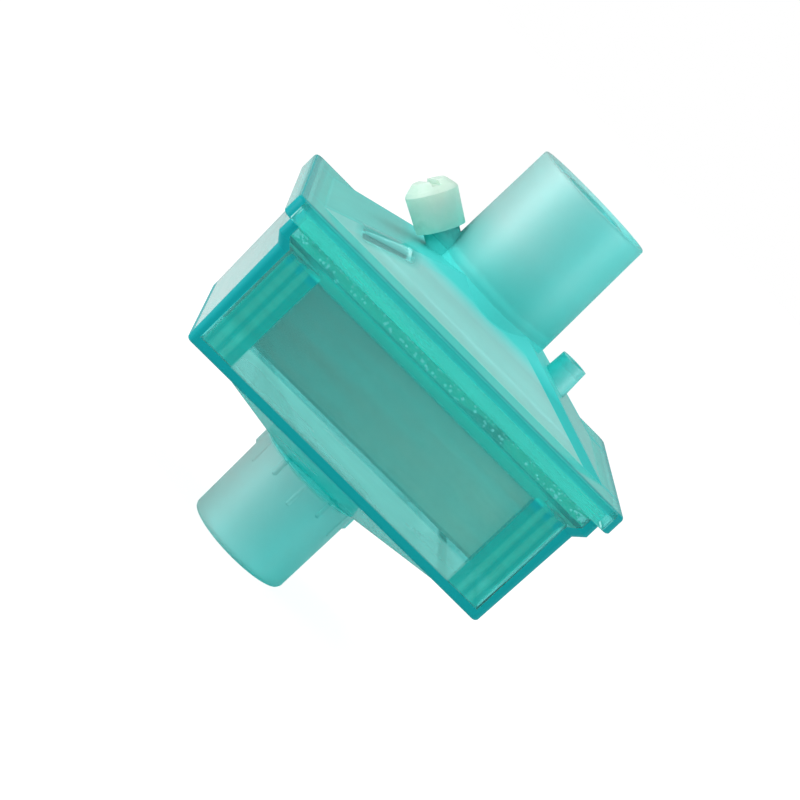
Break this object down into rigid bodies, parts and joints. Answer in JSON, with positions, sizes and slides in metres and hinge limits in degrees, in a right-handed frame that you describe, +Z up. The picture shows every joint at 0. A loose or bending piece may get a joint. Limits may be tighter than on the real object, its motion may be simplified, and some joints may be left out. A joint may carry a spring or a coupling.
{
  "type": "breathing circuit filter",
  "caption": "Clear rectangular breathing circuit filter with a pleated pack, a taper connector at each end, a capped gas sampling stub and a cap parking post.",
  "frame": {"origin": "centre of the lower port's mouth, on the port axis, where the filter stands", "axes": "+Z up along the gas path to the upper port, X along the long side of the housing, -Y the long face that the picture shows, the sampling stub towards -X"},
  "size_m": [0.0796, 0.0606, 0.0914],
  "materials": {
    "clear_shell": "clear teal tinted styrene copolymer, glossy, moulded",
    "filter_medium": "white pleated glass fibre paper",
    "potting": "clear adhesive with trapped air bubbles",
    "cap": "milky translucent polyethylene"
  },
  "bodies": {
    "housing": {"lower_shell": "clear_shell", "upper_shell": "clear_shell", "filter_pack": "filter_medium", "potting_bead": "potting"},
    "cap": {"luer_cap": "cap"}
  },
  "joints": [
    {"name": "cap_pull", "type": "slide", "parent": "housing", "child": "cap", "axis": [-0.866, 0, 0.5], "range_m": [0, 0.01]}
  ]
}
